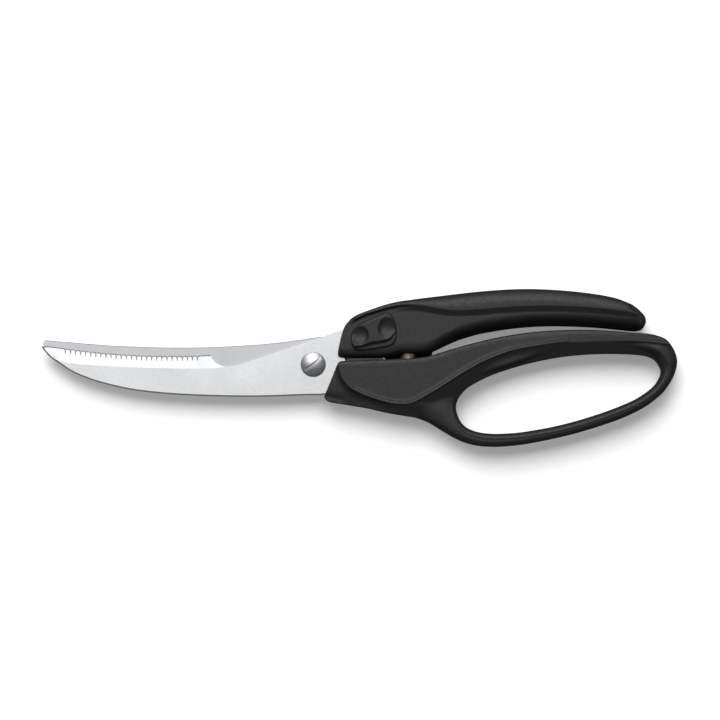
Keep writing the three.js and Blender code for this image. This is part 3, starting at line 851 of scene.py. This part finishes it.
def loop_handle():
    outline = chain(LOOP_TOP, LOOP_BEND, LOOP_UNDER, LOOP_FRONT)
    bead_offsets = (-2.2, -1.7, -1.45, -1.2, -1.0, -0.8, -0.5, -0.3, -0.05, 0.15, 0.35, 0.7, 1.1, 1.6)
    creases = [beside(PLATEAU, offset) for offset in bead_offsets]
    creases += [beside(LOOP_HOLE, -offset) for offset in (0.7, 1.0, 1.35, 1.7, 1.95, 2.2, 2.4, 2.8, 3.2)]
    creases += [beside(LOOP_UNDER, offset) for offset in (1.2, 1.6, 1.8, 2.05, 2.3, 2.6, 2.9)]
    made = relief(
        "loop_handle_finished", [outline, LOOP_HOLE],
        top=loop_height, bottom=lambda p: -np.minimum(loop_height(p), HALF),
        rims=(0.1, 0.25, 0.45, 0.7, 1.0, 1.4, 1.9, 2.4, 3.0, 3.8), lines=creases, spacing=0.8, sharp=50,
    )
    run = prism("run", circle(FRONT_ROOM_R + RUN_GAP), -0.05, BLADE_OUT + RUN_GAP)
    seat = prism("seat", circle(REAR_HEEL_R + SEAT_GAP), -BLADE_OUT - SEAT_GAP, 0)
    carve(made, run, seat, spring_pocket(-2.5, 4.0), sharp=50)
    shelf = prism("shelf", [(28.2, 0), (46, 0), (47, 4.9), (28.2, 4.5)], -6.8, -4.2)
    carve(made, shelf, sharp=50, operation="UNION")
    return show(made, PLASTIC, "rear_half", "loop_handle")


# --------------------------------------------------------------------------------------- pivot

SHANK_R = 2.5
NUT_R = 5.0


def pivot_screw():
    """A slotted head, part of a ball with a rolled rim, on a plain shank."""
    dome, crown, roll = 8.6, 4.8, 0.5  # radius of the ball, its top, and the radius of the rim
    lean = math.asin(4.7 / dome)
    drop = dome * math.cos(lean) - dome
    x, z = (dome - roll) * math.sin(lean), crown + drop - roll * math.cos(lean)  # centre of the rim's roll
    rim = [(x + roll * math.sin(a), z + roll * math.cos(a)) for a in np.linspace(math.pi / 2, lean, 9)]
    cap = [(dome * math.sin(a), crown - dome + dome * math.cos(a)) for a in np.linspace(lean, 0, 16)[1:]]
    shank = [(0, -4.9), (SHANK_R - 0.3, -4.9), (SHANK_R, -4.6), (SHANK_R, BLADE_OUT), (rim[0][0], BLADE_OUT)]
    made = lathe("pivot_screw_finished", [*shank, *rim, *cap[:-1], (0, crown)])
    turn = math.radians(38.5)
    along = np.array([math.cos(turn), math.sin(turn)])
    across = np.array([-along[1], along[0]])
    corners = [7 * i * along + 0.6 * j * across for i, j in ((-1, -1), (1, -1), (1, 1), (-1, 1))]
    carve(made, prism("slot", np.array(corners), 3.75, 6))
    return show(made, POLISHED, "rear_half", "pivot_screw")


def pivot_nut():
    """A low round nut with two holes for a pin wrench."""
    rim = [(NUT_R * math.cos(a), -4.0 - 1.1 * math.sin(a)) for a in np.linspace(0, 1.15, 10)]
    face = [(BORE_R, -3.5), (NUT_R - 0.1, -3.5), (NUT_R, -3.6)]
    made = lathe("pivot_nut_finished", [*face, *rim, (BORE_R + 0.15, -5.15), (BORE_R, -5.0)])
    carve(made, *(prism("hole", circle(0.45, (x, 0), 0.1), -6, -4.4) for x in (-3.7, 3.7)))
    return show(made, POLISHED, "rear_half", "pivot_nut")


# ---------------------------------------------------------------------------------------- lock

PAD = smooth([
    (14.8, 10.2), (15.5, 12.9), (18.2, 15.7), (23.9, 18.3), (27.4, 19.8), (29.2, 20.1), (31, 18.9),
    (32.3, 15.7), (32.7, 12.3), (32.2, 9.2), (30.4, 7.3), (26.2, 6.3), (17.6, 5.4), (15.6, 6.9),
], 0.35, closed=True)
PAD_FOOT = smooth([
    (13, 5.8), (15.4, 6.2), (18, 6.6), (20.5, 7.2), (23, 7.9), (26, 8.4), (28.5, 8.9), (30.5, 9.9),
    (31.8, 11.2), (33.5, 13),
], 0.35)


def lock_slider():
    """The thumb piece: a pad with two finger hollows, and a lower lip along its wavy foot."""
    # Each hollow's centre, half-sizes and outer side.
    hollows = [((18.5, 11.1), (3.35, 3.8), -1), ((28.9, 14.0), (3.5, 4.35), 1)]
    hollow_depth = 1.3
    lean = math.radians(-8)
    axes = np.array([[math.cos(lean), math.sin(lean)], [-math.sin(lean), math.cos(lean)]])
    turns = np.linspace(0, 2 * math.pi, 48, endpoint=False)
    ring = np.column_stack([np.cos(turns), np.sin(turns)])
    hollow_rims = [np.array(centre) + ring * size @ axes for centre, size, _ in hollows]
    above_foot = np.vstack([PAD_FOOT, [(34, 30), (10, 30)]])

    def hollow(points, centre, size, side):
        """Depth of a round-bottomed hollow, which opens out towards the end of the pad."""
        u, v = ((points - centre) @ axes.T / size).T
        inner = np.clip(-u * side, 0, 1)
        reach = np.sqrt(np.clip(1 - inner**2 - 0.7 * (u * side > 0) * u**2, 1e-4, 1))
        bowl = (1 - np.minimum(np.abs(v) / reach, 1) ** 2) * (1 - inner**4) * (np.abs(u) < 1.3)
        return hollow_depth * bowl

    def top(points):
        gap = gap_to(points, PAD, closed=True)
        over = signed_gap(points, above_foot)
        body = PANEL + 0.6 + round_rim(gap, 0.8, 1.8, 2.4)
        body = lowest(body, PANEL + 1.0 + 2 * np.maximum(over + 0.1, 0), 0.3)
        lip = PANEL + 0.3 + round_rim(gap, 0.9, 0.8)
        height = np.where(over > 0, body, np.minimum(body, lip))
        for centre, size, side in hollows:
            height = height - hollow(points, centre, size, side)
        return np.maximum(height, PANEL + 0.3)

    def bottom(points):
        return np.full(len(points), PANEL - 0.1)

    made = relief("lock_slider_finished", [PAD], top, bottom, rims=(0.08, 0.2, 0.4, 0.7, 1.0),
                  lines=[PAD_FOOT, *hollow_rims], spacing=0.4, sharp=50)
    return show(made, PLASTIC, "thumb_lock", "lock_slider")


# -------------------------------------------------------------------------------------- spring


def opening_spring():
    """A strip wound into two cones that meet at their wide ends. Each cross-section follows the
    handles by its place along the strip, so that the turns spread and keep their width."""
    thick, wide = 0.45, 2.6
    inner, outer = 1.3, 3.1  # radii of a cone's ends
    turns, steps = 2.4, 240  # turns of a cone, and steps of the whole strip
    low, high = SPRING_ENDS
    reach = (high - low - wide) / 2
    section = [(-1, -1), (-0.6, -1.06), (0.6, -1.06), (1, -1), (1, 1), (0.6, 1.06), (-0.6, 1.06), (-1, 1)]
    vertices = []
    for i in range(steps + 1):
        along = 2 * i / steps - 1
        angle = 2 * math.pi * turns * along
        radius = outer - (outer - inner) * abs(along)
        for across, up in section:
            r = radius + across * thick / 2
            y = (low + high) / 2 + along * reach + up * wide / 2
            vertices.append((SPRING_X + r * math.cos(angle), y, -r * math.sin(angle)))
    n = len(section)
    faces = [tuple(range(n)), tuple(range(steps * n, (steps + 1) * n))[::-1]]
    faces += [(i * n + k, (i + 1) * n + k, (i + 1) * n + (k + 1) % n, i * n + (k + 1) % n)
              for i in range(steps) for k in range(n)]
    made = new_mesh("opening_spring_finished", vertices, faces)
    made.data.materials.append(BRONZE)
    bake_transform(made)
    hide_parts("opening_spring")
    return made


def inner_parts():
    """The lock's hidden steel parts and the washer keep their CAD shapes, in a finish of their own."""
    for name in ("pivot_washer", "lock_bolt", "lock_rivet", "lock_detent_strip"):
        node = frame["nodes"][name]
        node.data.materials.clear()
        node.data.materials.append(INNER_STEEL)


# -------------------------------------------------------------------------------------- studio

KEY_SLANT = 36  # degrees from straight above, towards the straight handle's side
KEY_DISTANCE = 1.6
KEY_SIZE = 1.3
KEY_POWER = 34
WORLD_STRENGTH = 0.14
FLOOR_SIZE = 3.0  # from its middle to its sides
FLOOR_GLOW = 0.24
VIEW_WIDTH = 0.2834  # width of the picture at the shears
VIEW_ELEVATION = 89.0


def floor():
    """White paper that shows the shears' shadows and doesn't light them."""
    size = FLOOR_SIZE
    corners = [(-size, -size, 0), (size, -size, 0), (size, size, 0), (-size, size, 0)]
    mesh = bpy.data.meshes.new("floor")
    mesh.from_pydata(corners, [], [(0, 1, 2, 3)])
    sheet = link(bpy.data.objects.new("floor", mesh))
    sheet.location.z = cad_box[0][2] - 0.0002
    paper, _, shader = material("white_floor", Roughness=0.9)
    shader.inputs["Base Color"].default_value = (0.95, 0.95, 0.95, 1)
    shader.inputs["Specular IOR Level"].default_value = 0.1
    shader.inputs["Emission Color"].default_value = (1, 1, 1, 1)
    shader.inputs["Emission Strength"].default_value = FLOOR_GLOW
    sheet.visible_glossy = sheet.visible_diffuse = False
    sheet.data.materials.append(paper)


def lights():
    """One large softbox from the far side, and a faint even sky."""
    slant = math.radians(KEY_SLANT)
    light = bpy.data.lights.new("key", "AREA")
    light.shape = "SQUARE"
    light.size = KEY_SIZE
    light.energy = KEY_POWER
    lamp = link(bpy.data.objects.new("key", light))
    lamp.location = Vector((-0.1, math.sin(slant), math.cos(slant))) * KEY_DISTANCE
    lamp.rotation_euler = (-lamp.location).to_track_quat("-Z", "Y").to_euler()
    world = bpy.data.worlds.new("studio")
    world.use_nodes = True
    sky = world.node_tree.nodes["Background"]
    sky.inputs["Color"].default_value = (0.97, 0.98, 1, 1)
    sky.inputs["Strength"].default_value = WORLD_STRENGTH
    bpy.context.scene.world = world
    bpy.context.scene.view_settings.view_transform = "Standard"


def camera():
    """Almost straight above, through a long lens, with the shears across the whole picture."""
    target = Vector((0.0003, 0.0031, PIVOT[2]))
    lens, sensor = 180.0, 36.0
    distance = VIEW_WIDTH * lens / sensor
    elevation = math.radians(VIEW_ELEVATION)
    data = bpy.data.cameras.new("camera")
    data.lens, data.sensor_width = lens, sensor
    data.clip_end = 20
    made = link(bpy.data.objects.new("camera", data))
    made.location = target + Vector((0, -math.cos(elevation), math.sin(elevation))) * distance
    made.rotation_euler = (math.pi / 2 - elevation, 0, 0)
    bpy.context.scene.camera = made


camera()
floor()
lights()
front_blade()
rear_blade()
straight_handle()
loop_handle()
pivot_screw()
pivot_nut()
lock_slider()
opening_spring()
inner_parts()
